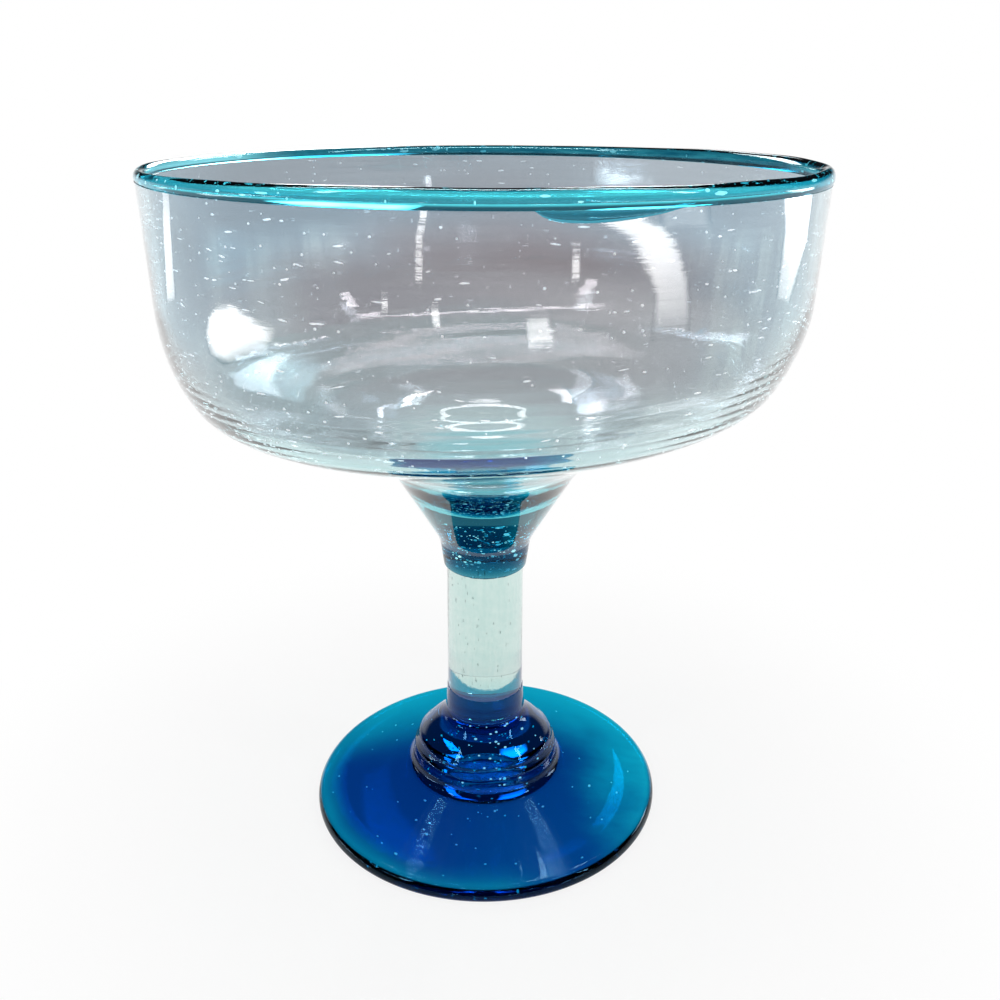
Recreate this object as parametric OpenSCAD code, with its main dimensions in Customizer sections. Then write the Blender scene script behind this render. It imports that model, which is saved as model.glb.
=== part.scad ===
// Margarita glass, blown and drawn by hand: a seeded clear bowl with a coloured thread
// round its lip, a coloured neck, a clear rod, a collar and a domed foot.
// The axis of the glass is Z and the foot stands on z = 0.

/* [Whole glass] */
// Height from the table to the top of the coloured thread
glass_h = 150; // [142:1:170]
// Height of the bowl and its neck, from the rod to the lip
bowl_h = 85.2; // [80:0.2:94]

/* [Bowl] */
// Outer width of the bowl at its lip
lip_d = 132.6; // [120:0.2:140]
// Thickness of the wall
wall_t = 2.1; // [1.7:0.1:2.6]
// Thickness of the floor under the drink
floor_t = 2.7; // [2.3:0.1:3.4]
// Slope of the wall, measured from the level
wall_a = 88.4; // [87.6:0.1:89.6]
// Slope of the underside, measured from the level
under_a = 23.4; // [20:0.2:26]
// Slope at which the tight bend of the heel gives way to the long one
heel_a = 60; // [54:1:66]
// Radius of the heel's tight bend, outside
heel_r = 12.3; // [11:0.1:13.5]
// Radius of the long bend that runs up into the wall, outside
shoulder_r = 36; // [32:1:40]
// Radius of the heel's tight bend, inside
hollow_heel_r = 13; // [11.5:0.1:14]
// Radius of the long bend, inside
hollow_shoulder_r = 33; // [29:1:36]
// Radius of the round bottom of the hollow
well_r = 25; // [24:0.5:29]

/* [Funnel under the bowl] */
// Slope of the funnel's flank, measured from the level
flank_a = 59; // [55:1:62]
// Outer width where the flank ends
flank_d = 39; // [36:0.5:42]
// Radius of the bend from the flank to the underside
flare_r = 18; // [15:0.5:21]
// Radius of the bend from the neck to the flank
throat_r = 10; // [8:0.5:13]
// Slope of the throat where the bowl's clear skirt ends
skirt_a = 75; // [70:1:79]
// Thickness of the skirt's lower edge
skirt_t = 0.7; // [0.5:0.1:1]

/* [Neck] */
// Width of the coloured neck at its lower end
neck_d = 19; // [18:0.2:20.6]
// Height of the neck from the rod to the start of the throat
neck_h = 4.6; // [4:0.2:9]
// Slope of the neck's side, measured from the level
neck_a = 83.5; // [81:0.5:87]
// Rounding of the neck's lower edge
neck_round = 0.6; // [0.3:0.1:0.8]
// Width of the tenon at its shoulder, inside the bowl's base
tenon_d = 13; // [11:0.5:15]
// Height of the tenon's shoulder above the skirt's lower edge
tenon_h = 8; // [6.5:0.5:9]
// Clear glass between the hollow and the top of the tenon
button_t = 2.2; // [1.6:0.1:3]

/* [Coloured thread on the lip] */
// Height of the thread above the lip
thread_h = 3.2; // [2.6:0.1:4]
// Width of the thread
thread_w = 2.7; // [2.6:0.1:3.4]
// Arc along which the end of the thread runs over its start
lap_arc = 19; // [12:1:30]
// Direction of the middle of that overlap, seen from above
lap_dir = 286; // [0:1:359]
// Drop of the overlap below the lip
lap_h = 1.8; // [1:0.1:3]
// Bulge of the overlap from the wall
lap_t = 0.5; // [0.3:0.1:0.8]

/* [Rod and collar] */
// Width of the clear rod under the neck
rod_d = 17.6; // [16:0.2:18]
// Width of the clear rod on the collar
rod_foot_d = 18; // [17:0.1:18.2]
// Width of the collar where the rod stands on it
collar_top_d = 18.2; // [18.2:0.1:18.6]
// Width of the collar at the foot
collar_d = 18.8; // [18.6:0.1:20]
// Height of the collar
collar_h = 5; // [3:0.5:8]

/* [Foot] */
// Width of the foot
foot_d = 83.4; // [70:0.2:95]
// Height of the foot and its boss, up to the collar
foot_h = 24.5; // [22:0.5:30]
// Thickness of the foot at its edge
edge_t = 3.3; // [2.6:0.1:4]
// Rounding of the foot's lower edge
edge_low_r = 1.1; // [0.8:0.1:1.3]
// Slope of the foot's upper side
dome_a = 13.5; // [11:0.5:15]
// Width of the boss
boss_d = 35.2; // [32:0.2:38]
// Upright stretch of the boss above its fillet
boss_side_h = 0.6; // [0.3:0.1:1.5]
// Radius of the fillet round the boss
boss_fillet_r = 2.2; // [1.5:0.1:3]
// Width of the ring on which the foot stands, at its inner edge
ring_d = 70; // [60:1:76]
// Rise of the hollow under the foot
hollow_rise = 2.4; // [1.6:0.1:3]

/* [Tool rings on the boss] */
// Thickness of the raised rings
ring_bead = 0.9; // [0.5:0.1:1.2]
// Height of the upper ring above the table
ring_hi_z = 16; // [15:0.5:18]
// Height of the lower ring above the table
ring_lo_z = 13.6; // [12.5:0.1:14.5]

/* [Pontil scar] */
// Width of the scar
scar_d = 13; // [9:0.5:18]
// Thickness of the glass left by the rod
scar_t = 1.2; // [0.8:0.1:1.4]
// Depth of the dish where it broke away
scar_dish = 0.5; // [0.3:0.1:0.6]

/* [Hidden] */
$fn = 96;
bend_steps = 10;
thread_steps = 30;
// Upright reach of the curve from the collar and from the boss's side
collar_pull = 4;
boss_pull = 6;

lip_r = lip_d / 2;
lip_z = glass_h - thread_h;
collar_z = foot_h;
rod_z = collar_z + collar_h;
neck_z = lip_z - bowl_h;

// Points of a bend that starts at p, turns from slope a0 to slope a1 and has radius r.
function bend(p, a0, a1, r) = [
    for (i = [0 : bend_steps])
        let (a = a0 + (a1 - a0) * i / bend_steps, turn = a1 > a0 ? r : -r)
            p + turn * [sin(a) - sin(a0), cos(a0) - cos(a)]
];

// Last point of a list, a list turned round, and a list without its first point.
function last(list) = list[len(list) - 1];
function turned(list) = [for (i = [len(list) - 1 : -1 : 0]) list[i]];
function rest(list) = [for (i = [1 : len(list) - 1]) list[i]];

// Where a straight stretch from p with slope a reaches the distance x from the axis.
function reach(p, a, x) = [x, p[1] + (x - p[0]) * tan(a)];

// Points of a smooth curve from p0 to p3 that leaves towards p1 and arrives from p2.
function curve(p0, p1, p2, p3) = [
    for (i = [0 : bend_steps])
        let (t = i / bend_steps, s = 1 - t)
            s * s * s * p0 + 3 * s * s * t * p1 + 3 * s * t * t * p2 + t * t * t * p3
];

// Points of a round cap of radius r over the axis, from its top at z out to the distance x.
function cap(z, r, x) = [
    for (i = [0 : bend_steps])
        let (a = asin(x / r) * i / bend_steps)
            [r * sin(a), z - r * (1 - cos(a))]
];

// Radius of the cap that falls by drop at the distance x.
function cap_radius(x, drop) = (x * x + drop * drop) / (2 * drop);

// Distance from the axis at which a floor through p starts to bend into a wall that
// stands at wall_r on the lip, by a tight bend r1 and a long bend r2.
function heel_start(p, wall_r, r1, r2) =
    let (
        across = r1 * (sin(heel_a) - sin(under_a)) + r2 * (sin(wall_a) - sin(heel_a)),
        up = r1 * (cos(under_a) - cos(heel_a)) + r2 * (cos(heel_a) - cos(wall_a)),
        lean = 1 / tan(wall_a),
        climb = tan(under_a)
    )
        (wall_r - across - (lip_z - p[1] + p[0] * climb - up) * lean) / (1 - climb * lean);

// Heel and wall from a floor through p up to the lip.
function heel(p, wall_r, r1, r2) =
    let (
        start = reach(p, under_a, heel_start(p, wall_r, r1, r2)),
        tight = bend(start, under_a, heel_a, r1),
        long = bend(last(tight), heel_a, wall_a, r2)
    )
        concat(tight, rest(long), [[wall_r, lip_z]]);

// Neck and throat, from the rod up. The rod takes up what height the rest leaves.
neck_foot = [neck_d / 2, neck_z];
throat_start = neck_foot + neck_h * [1 / tan(neck_a), 1];
throat_low = bend(throat_start, neck_a, skirt_a, throat_r);
skirt_edge = last(throat_low);
throat_high = bend(skirt_edge, skirt_a, flank_a, throat_r);
flank_end = reach(last(throat_high), flank_a, flank_d / 2);
flare = bend(flank_end, flank_a, under_a, flare_r);
bowl_outside = concat(throat_high, flare, heel(last(flare), lip_r, heel_r, shoulder_r));

// Hollow of the bowl. Its floor runs along the underside, floor_t above it, and its
// round bottom meets that floor in a bend about the same centre as the flare.
floor_start = last(flare) + floor_t * [-sin(under_a), cos(under_a)];
inner_flare_r = flare_r + floor_t;
well_a = asin((floor_start[0] + inner_flare_r * sin(under_a)) / (well_r + inner_flare_r));
well_z = floor_start[1] - inner_flare_r * (cos(under_a) - cos(well_a)) - well_r * (1 - cos(well_a));
well = bend([0, well_z], 0, well_a, well_r);
inner_flare = bend(last(well), well_a, under_a, inner_flare_r);
hollow = concat(
    well,
    rest(inner_flare),
    heel(floor_start, lip_r - wall_t, hollow_heel_r, hollow_shoulder_r)
);

// Tenon of the neck, which fills the socket in the bowl's base.
tenon_foot = [skirt_edge[0] - skirt_t, skirt_edge[1]];
tenon_side = [tenon_d / 2, skirt_edge[1] + tenon_h];
tenon_top_z = well_z - button_t;
tenon_cap_r = cap_radius(tenon_side[0], tenon_top_z - tenon_side[1]);
tenon = turned(cap(tenon_top_z, tenon_cap_r, tenon_side[0]));

// Distance of the bowl's outer face from the axis near the lip.
function wall_x(z) = lip_r - (lip_z - z) / tan(wall_a);

// Foot: upper side, round edge and the hollow under it.
foot_r = foot_d / 2;
boss_r = boss_d / 2;
edge_top_r = edge_t - edge_low_r;
edge_top = [foot_r - edge_top_r, edge_t];
fillet_reach = boss_fillet_r * tan((90 - dome_a) / 2);
boss_foot_z = edge_t + (edge_top[0] - boss_r) * tan(dome_a) + fillet_reach;
boss_side = [boss_r, boss_foot_z + boss_side_h];
boss_flank = curve(
    [collar_d / 2, collar_z],
    [collar_d / 2, collar_z - collar_pull],
    boss_side + [0, boss_pull],
    boss_side
);
foot_top = concat(boss_flank, bend([boss_r, boss_foot_z], -90, -dome_a, boss_fillet_r));
foot_edge = concat(
    bend(edge_top, 0, -90, edge_top_r),
    bend([foot_r, edge_low_r], -90, -180, edge_low_r)
);
foot_hollow_r = cap_radius(ring_d / 2, hollow_rise);
foot_hollow = cap(hollow_rise, foot_hollow_r, ring_d / 2);
scar_roof = cap(hollow_rise, foot_hollow_r, scar_d / 2);
scar_low_z = last(scar_roof)[1] - scar_t;

// Distance of the boss's flank from the axis at height z.
function flank_x(z) = lookup(z, [for (p = boss_flank) [p[1], p[0]]]);

// Clear bowl with the base and skirt that hold the neck.
module bowl() {
    color([0.80, 0.84, 0.87, 0.45])
        rotate_extrude()
            polygon(concat(bowl_outside, turned(hollow), turned(tenon), [tenon_foot]));
}

// Coloured thread round the lip, with its end laid over its start.
module rim_thread() {
    half_w = thread_w / 2;
    cut_a = acos(wall_t / thread_w);
    half_h = thread_h / (1 + sin(cut_a));
    centre = [lip_r - wall_t / 2, lip_z + half_h * sin(cut_a)];
    color([0.05, 0.66, 0.74])
        union() {
            rotate_extrude()
                polygon([
                    for (i = [0 : thread_steps])
                        let (a = -cut_a + (180 + 2 * cut_a) * i / thread_steps)
                            centre + [half_w * cos(a), half_h * sin(a)]
                ]);
            overlap(centre[1]);
        }
}

// Overlap of the thread's ends. Its flat side lies on the wall up to the lip and its
// top, at top_z, is buried in the thread.
module overlap(top_z) {
    low_z = lip_z - lap_h;
    mid_z = (low_z + top_z) / 2;
    rotate([0, 0, lap_dir - lap_arc / 2])
        rotate_extrude(angle = lap_arc)
            polygon(concat(
                curve(
                    [wall_x(low_z), low_z],
                    [wall_x(low_z) + lap_t, low_z],
                    [wall_x(mid_z) + lap_t, mid_z],
                    [lip_r, top_z]
                ),
                [[lip_r, lip_z]]
            ));
}

// Coloured neck between the rod and the bowl, with its tenon.
module stem_neck() {
    color([0.02, 0.33, 0.42])
        rotate_extrude()
            polygon(concat(
                [[0, neck_z]],
                bend([neck_foot[0] - neck_round, neck_z], 0, neck_a, neck_round),
                throat_low,
                [tenon_foot],
                tenon
            ));
}

// Clear drawn rod.
module stem_rod() {
    color([0.80, 0.88, 0.86, 0.6])
        translate([0, 0, rod_z])
            cylinder(d1 = rod_foot_d, d2 = rod_d, h = neck_z - rod_z);
}

// Collar that ties the rod to the foot.
module foot_collar() {
    color([0.02, 0.28, 0.42])
        translate([0, 0, collar_z])
            cylinder(d1 = collar_d, d2 = collar_top_d, h = collar_h);
}

// Pressed foot with its boss and tool rings.
module foot() {
    color([0.02, 0.26, 0.60])
        union() {
            rotate_extrude()
                polygon(concat([[0, collar_z]], foot_top, foot_edge, turned(foot_hollow)));
            for (z = [ring_hi_z, ring_lo_z])
                rotate_extrude()
                    translate([flank_x(z) - ring_bead / 4, z]) circle(d = ring_bead);
        }
}

// Glass left under the foot where the working rod was broken off.
module pontil_scar() {
    color([0.10, 0.40, 0.62])
        rotate_extrude()
            polygon(concat(
                scar_roof,
                bend([scar_d / 2, scar_low_z + scar_dish], -90, -180, scar_dish),
                [[0, scar_low_z + scar_dish]]
            ));
}

bowl();
rim_thread();
stem_neck();
stem_rod();
foot_collar();
foot();
pontil_scar();
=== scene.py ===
import math
import random

import bmesh
import bpy
from mathutils import Matrix, Vector, noise


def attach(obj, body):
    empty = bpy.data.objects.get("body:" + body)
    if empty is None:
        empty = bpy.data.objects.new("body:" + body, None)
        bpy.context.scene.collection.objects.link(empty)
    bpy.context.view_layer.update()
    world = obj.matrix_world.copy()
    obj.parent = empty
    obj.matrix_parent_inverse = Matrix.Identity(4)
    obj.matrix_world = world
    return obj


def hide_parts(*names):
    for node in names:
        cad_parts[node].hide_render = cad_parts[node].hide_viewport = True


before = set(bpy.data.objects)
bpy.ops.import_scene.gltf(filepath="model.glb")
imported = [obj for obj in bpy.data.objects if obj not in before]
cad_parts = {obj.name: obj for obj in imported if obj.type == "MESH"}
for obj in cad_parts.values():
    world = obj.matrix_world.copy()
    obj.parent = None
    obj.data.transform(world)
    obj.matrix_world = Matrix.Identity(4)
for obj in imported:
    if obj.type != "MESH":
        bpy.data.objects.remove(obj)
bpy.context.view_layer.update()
print("frame loaded:", ", ".join(sorted(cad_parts)))

mm = 0.001
perMetre = 1000
fused = 0.12  # how far fused pieces run into each other, in mm
near = 0.05  # how close to a joint a face counts as fused, in mm
sharpAngle = 48  # degrees between faces from which an edge shows as sharp
dice = random.Random(7)


# shader wires: an expression on values adds its Math nodes

class Wire:
    def __init__(self, tree, socket=None):
        self.tree = tree
        self.socket = socket

    def node(self, kind, settings=None, sockets=None, out=0):
        made = self.tree.nodes.new(kind)
        for name, value in (settings or {}).items():
            setattr(made, name, value)
        for name, value in (sockets or {}).items():
            if isinstance(value, Wire):
                self.tree.links.new(value.socket, made.inputs[name])
            else:
                made.inputs[name].default_value = value
        return Wire(self.tree, made.outputs[out] if len(made.outputs) else None)

    def maths(self, operation, first, second=0.0):
        return self.node("ShaderNodeMath", {"operation": operation}, {0: first, 1: second})

    def __add__(self, other):
        return self.maths("ADD", self, other)

    __radd__ = __add__

    def __sub__(self, other):
        return self.maths("SUBTRACT", self, other)

    def __rsub__(self, other):
        return self.maths("SUBTRACT", other, self)

    def __mul__(self, other):
        return self.maths("MULTIPLY", self, other)

    __rmul__ = __mul__

    def __pow__(self, other):
        return self.maths("POWER", self, other)

    def least(self, other):
        return self.maths("MINIMUM", self, other)

    def most(self, other):
        return self.maths("MAXIMUM", self, other)

    def under(self, limit):
        return self.maths("LESS_THAN", self, limit)

    def over(self, limit):
        return self.maths("GREATER_THAN", self, limit)

    def size(self):
        return self.maths("ABSOLUTE", self)

    def ease(self, low, high):
        # 0 below low, 1 above high, smooth between them; the other way round when low > high
        return self.node("ShaderNodeMapRange", {"interpolation_type": "SMOOTHSTEP"},
                         {"Value": self, "From Min": low, "From Max": high})

    def blend(self, first, second):
        # colour first where this wire is 0, second where it is 1
        ends = [c if isinstance(c, Wire) else (*c, 1) for c in (first, second)]
        return self.node("ShaderNodeMix", {"data_type": "RGBA"},
                         {0: self, 6: ends[0], 7: ends[1]}, out=2)

    def stretch(self, x, y, z):
        return self.node("ShaderNodeVectorMath", {"operation": "MULTIPLY"}, {0: self, 1: (x, y, z)})

    def split(self):
        parts = self.node("ShaderNodeSeparateXYZ", sockets={0: self}).socket.node
        return [Wire(self.tree, s) for s in parts.outputs]

    def cloud(self, scale, detail=2.0, rough=0.5):
        return self.node("ShaderNodeTexNoise", sockets={
            "Vector": self, "Scale": scale, "Detail": detail, "Roughness": rough})


def where(tree):
    # object place in mm: the wire itself, its x, y, z and the distance from the axis
    start = Wire(tree)
    place = start.node("ShaderNodeTexCoord", out="Object").stretch(perMetre, perMetre, perMetre)
    x, y, z = place.split()
    return place, x, y, z, (x * x + y * y) ** 0.5


def through(loss):
    # colour and density of an absorbing volume that loses so much red, green and blue per mm
    density = 1.02 * perMetre * max(loss)
    return (*[1 - perMetre * part / density for part in loss], 1), density


def glassFinish(name, look, paint):
    # the paint gives the colour, the height of the relief and the faces where pieces are fused
    made = bpy.data.materials.new(name)
    made.use_nodes = True
    tree = made.node_tree
    tree.nodes.clear()
    start = Wire(tree)
    colour, relief, joined = paint(where(tree), look)
    bump = start.node("ShaderNodeBump", sockets={
        "Strength": look["relief"], "Distance": look["reliefHeight"] * mm, "Height": relief})
    surface = start.node("ShaderNodeBsdfPrincipled", sockets={
        "Base Color": colour, "Roughness": look["rough"], "IOR": look["ior"],
        "Specular Tint": (*look["tint"], 1), "Transmission Weight": 1.0, "Normal": bump,
        "Coat Weight": look["coat"], "Coat Roughness": look["coatRough"]})
    shown = start.node("ShaderNodeMixShader", sockets={
        0: joined, 1: surface, 2: start.node("ShaderNodeBsdfTransparent")})
    tone, density = through(look["loss"])
    inside = start.node("ShaderNodeVolumeAbsorption", sockets={"Color": tone, "Density": density})
    start.node("ShaderNodeOutputMaterial", sockets={"Surface": shown, "Volume": inside})
    return made


# what all the glass shares
gloss = {"ior": 1.5, "tint": (1, 1, 1), "rough": 0.012, "coat": 0.7, "coatRough": 0.06}


# outlines, in mm, as (distance from the axis, height)

def sinD(a):
    return math.sin(math.radians(a))


def cosD(a):
    return math.cos(math.radians(a))


def tanD(a):
    return math.tan(math.radians(a))


def easeStep(low, high, value):
    t = min(max((value - low) / (high - low), 0), 1)
    return t * t * (3 - 2 * t)


def arc(start, slope0, slope1, radius, steps=14):
    # a bend from one slope to the other, in degrees above the level
    side = radius if slope1 > slope0 else -radius
    slopes = [slope0 + (slope1 - slope0) * i / steps for i in range(steps + 1)]
    return [(start[0] + side * (sinD(a) - sinD(slope0)), start[1] + side * (cosD(slope0) - cosD(a)))
            for a in slopes]


def reachTo(start, slope, distance):
    # straight on at a slope, as far as a distance from the axis
    return (distance, start[1] + (distance - start[0]) * tanD(slope))


def smoothCurve(p0, p1, p2, p3, steps=20):
    points = []
    for i in range(steps + 1):
        t = i / steps
        s = 1 - t
        points.append(tuple(s ** 3 * a + 3 * s * s * t * b + 3 * s * t * t * c + t ** 3 * d
                            for a, b, c, d in zip(p0, p1, p2, p3)))
    return points


def roundCap(top, radius, distance, steps=14):
    # part of a ball, from its top on the axis down to a distance from the axis
    full = math.asin(distance / radius)
    return [(radius * math.sin(full * i / steps), top - radius * (1 - math.cos(full * i / steps)))
            for i in range(steps + 1)]


def capRadius(distance, drop):
    # of the ball whose cap is so wide and so deep
    return (distance * distance + drop * drop) / (2 * drop)


def fine(points, longest=1.6):
    # the same outline with no stretch longer than so many mm
    made = [points[0]]
    for (r0, z0), (r1, z1) in zip(points, points[1:]):
        parts = max(1, math.ceil(math.hypot(r1 - r0, z1 - z0) / longest))
        made += [(r0 + (r1 - r0) * i / parts, z0 + (z1 - z0) * i / parts)
                 for i in range(1, parts + 1)]
    return made


def sway(angle, height, seed, turns=2.0, rise=0.03):
    # slow smooth wander in -1..1 over a turned surface
    return noise.noise(Vector((turns * math.cos(angle), turns * math.sin(angle) + seed, height * rise)))


def turnPiece(name, outlineAt, around, material, node=None):
    # turns an outline that may change with the angle about Z into one closed mesh
    mesh = bpy.data.meshes.new(name)
    points, rows = [], []
    for j in range(around):
        angle = 2 * math.pi * j / around
        row = []
        for i, (r, z) in enumerate(outlineAt(angle)):
            if abs(r) < 1e-6 and j:
                row.append(rows[0][i])
                continue
            row.append(len(points))
            points.append((r * math.cos(angle) * mm, r * math.sin(angle) * mm, z * mm))
        rows.append(row)
    closed = abs(outlineAt(0)[0][0]) > 1e-6
    faces = []
    for j in range(around):
        here, there = rows[j], rows[(j + 1) % around]
        for i in range(len(here) - (0 if closed else 1)):
            k = (i + 1) % len(here)
            corners = [here[i], here[k], there[k], there[i]]
            face = [c for n, c in enumerate(corners) if c not in corners[:n]]
            if len(face) > 2:
                faces.append(face)
    mesh.from_pydata(points, [], faces)
    shownPiece(name, mesh, material, node)


def shownPiece(name, mesh, material, node=None):
    # faces outwards, round faces smooth, and the frame told what the piece is
    work = bmesh.new()
    work.from_mesh(mesh)
    bmesh.ops.recalc_face_normals(work, faces=work.faces)
    work.to_mesh(mesh)
    work.free()
    mesh.shade_smooth()
    mesh.set_sharp_from_angle(angle=math.radians(sharpAngle))
    piece = bpy.data.objects.new(name, mesh)
    bpy.context.collection.objects.link(piece)
    mesh.materials.append(material)
    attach(piece, "root")
    if node:
        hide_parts(node)
    print("made", name, len(mesh.vertices), "points")


# bowl, in mm and degrees as all the pieces are

lip = {"radius": 66.3, "height": 146.8}
bowl = {
    "wall": 2.1, "floor": 2.7, "wallSlope": 88.4, "underSlope": 23.4, "heelSlope": 60,
    "heel": 12.3, "shoulder": 36, "hollowHeel": 13, "hollowShoulder": 33, "well": 25,
    "flankSlope": 59, "flank": 19.5, "flare": 18, "throat": 10, "skirtSlope": 75, "skirt": 0.7,
}
# what blowing by hand adds beyond a distance from the axis, and where each of it fades in and out
handmade = {
    "beyond": 22,
    "wander": 0.09, "thin": 0.07, "wanderFrom": (24, 40), "wanderTo": (140, 146),
    "ripple": 0.028, "rippleTurns": 2.6, "rippleFrom": (34, 50), "rippleTo": (112, 122),
    "sag": 0.034, "sagFrom": (20, 40), "sagTo": (112, 132),
    "dish": 0.5, "dishFrom": 27, "dishWide": 23, "dishBelow": 108,
}
neck = {
    "foot": 61.6, "radius": 9.5, "height": 4.6, "slope": 83.5, "round": 0.6,
    "tenon": 6.5, "tenonHeight": 8, "button": 2.2,
}


def heelAndWall(start, wallRadius, tight, wide):
    # out along the floor's underside or top, round the tight bend and the wide one, and up the wall
    up, out = bowl["underSlope"], bowl["heelSlope"]
    steep = bowl["wallSlope"]
    across = tight * (sinD(out) - sinD(up)) + wide * (sinD(steep) - sinD(out))
    climb = tight * (cosD(up) - cosD(out)) + wide * (cosD(out) - cosD(steep))
    lean = 1 / tanD(steep)
    rise = tanD(up)
    left = lip["height"] - start[1] + start[0] * rise - climb
    begin = (wallRadius - across - left * lean) / (1 - rise * lean)
    bendOne = arc(reachTo(start, up, begin), up, out, tight)
    bendTwo = arc(bendOne[-1], out, steep, wide, 24)
    return bendOne + bendTwo[1:] + [(wallRadius, lip["height"])]


neckFoot = (neck["radius"], neck["foot"])
throatStart = (neckFoot[0] + neck["height"] / tanD(neck["slope"]), neckFoot[1] + neck["height"])
throatLow = arc(throatStart, neck["slope"], bowl["skirtSlope"], bowl["throat"])
skirtEdge = throatLow[-1]
throatHigh = arc(skirtEdge, bowl["skirtSlope"], bowl["flankSlope"], bowl["throat"])
flankEnd = reachTo(throatHigh[-1], bowl["flankSlope"], bowl["flank"])
flare = arc(flankEnd, bowl["flankSlope"], bowl["underSlope"], bowl["flare"])
bowlOutside = throatHigh + flare + heelAndWall(flare[-1], lip["radius"], bowl["heel"], bowl["shoulder"])

floorStart = (flare[-1][0] - bowl["floor"] * sinD(bowl["underSlope"]),
              flare[-1][1] + bowl["floor"] * cosD(bowl["underSlope"]))
innerFlare = bowl["flare"] + bowl["floor"]
wellSlope = math.degrees(math.asin(
    (floorStart[0] + innerFlare * sinD(bowl["underSlope"])) / (bowl["well"] + innerFlare)))
wellHeight = (floorStart[1] - innerFlare * (cosD(bowl["underSlope"]) - cosD(wellSlope))
              - bowl["well"] * (1 - cosD(wellSlope)))
wellCurve = arc((0, wellHeight), 0, wellSlope, bowl["well"])
hollow = (wellCurve + arc(wellCurve[-1], wellSlope, bowl["underSlope"], innerFlare)[1:]
          + heelAndWall(floorStart, lip["radius"] - bowl["wall"], bowl["hollowHeel"], bowl["hollowShoulder"]))

tenonSide = (neck["tenon"], skirtEdge[1] + neck["tenonHeight"])
tenonTop = wellHeight - neck["button"]
tenonCap = roundCap(tenonTop, capRadius(tenonSide[0], tenonTop - tenonSide[1]), tenonSide[0])
tenonFoot = (skirtEdge[0] - bowl["skirt"], skirtEdge[1])

bowlLoop = (fine(tenonCap) + fine([tenonCap[-1], tenonFoot])[1:] + fine([tenonFoot, bowlOutside[0]])[1:]
            + fine(bowlOutside)[1:] + fine([bowlOutside[-1], hollow[-1]])[1:] + fine(hollow[::-1])[1:])
bowlInner = {(round(r, 5), round(z, 5)) for r, z in fine(hollow[::-1])}


def bowlShape(r, z, angle, inner):
    # a slow wander, a wall that thins and thickens, tool ripples and a sag in the heel, a dished floor
    hand = handmade
    free = easeStep(*hand["wanderFrom"], r) * (1 - easeStep(*hand["wanderTo"], z))
    drift = hand["wander"] * (sway(angle, z, 3.1, 1.6) - 0.6) * free
    if inner:
        drift += hand["thin"] * sway(angle, z, 9.4, 3.0, 0.05) * free
    tool = easeStep(*hand["rippleFrom"], r) * (1 - easeStep(*hand["rippleTo"], z))
    phase = hand["rippleTurns"] * (z + 0.6 * r) + 2.0 * sway(angle, z, 5.0, 1.2)
    drift += hand["ripple"] * tool * math.sin(phase)
    lopsided = easeStep(*hand["sagFrom"], r) * (1 - easeStep(*hand["sagTo"], z))
    sag = hand["sag"] * r * math.cos(angle) * lopsided
    dish = 0
    if inner and z < hand["dishBelow"]:
        across = min(max((r - hand["dishFrom"]) / hand["dishWide"], 0), 1)
        dish = hand["dish"] * math.sin(math.pi * across) ** 1.5
    return r + drift, z + sag - dish


def bowlOutline(angle):
    shaped = []
    for r, z in bowlLoop:
        if r > handmade["beyond"]:
            r, z = bowlShape(r, z, angle, (round(r, 5), round(z, 5)) in bowlInner)
        shaped.append((r, z))
    return shaped


# most of the bowl's tones are painted light and shade: the greys stand for the dim room seen through the
# clear glass, the paler, bluer and whiter ones for mirrored windows and lit glass
bowlLook = {
    **gloss, "loss": (0.040, 0.011, 0.009), "relief": 0.25, "reliefHeight": 0.03,
    "smoke": (0.525, 0.462, 0.485), "side": (0.64, 0.72, 0.79), "pale": (0.90, 0.98, 1.0),
    "left": (0.54, 0.69, 0.80), "edge": (0.46, 0.47, 0.52), "lipFront": (0.72, 0.80, 0.88),
    "lipBack": (0.38, 0.405, 0.45), "lipRight": (0.82, 0.86, 0.92), "low": (0.78, 0.765, 0.785),
    "lowLeft": (0.62, 0.62, 0.66), "heel": (0.77, 0.90, 0.92), "clear": (1.0, 1.0, 1.0),
    "flank": (0.42, 0.90, 0.94), "under": (0.78, 0.90, 0.89), "ring": (0.78, 0.77, 0.80),
    "faint": (0.93, 0.935, 0.94),
}
# where each tone begins and where it is full, in mm
bowlZones = {
    "left": (42, 60), "side": (18, 58), "edge": (61, 65), "near": (40, -40), "lip": (126, 135),
    "lipRight": (15, 50), "lipRightNear": (30, -20), "lowLeft": (10, -40), "low": (124, 113),
    "heel": (113, 103), "clear": (14, 46), "clearLow": (120, 107), "drawnLow": (112, 104),
    "flank": (84, 79), "ring": (37, 33), "ringHigh": (88, 92), "under": (1.6, 0.8),
    "underLow": 106, "underOut": 19,
}


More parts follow.
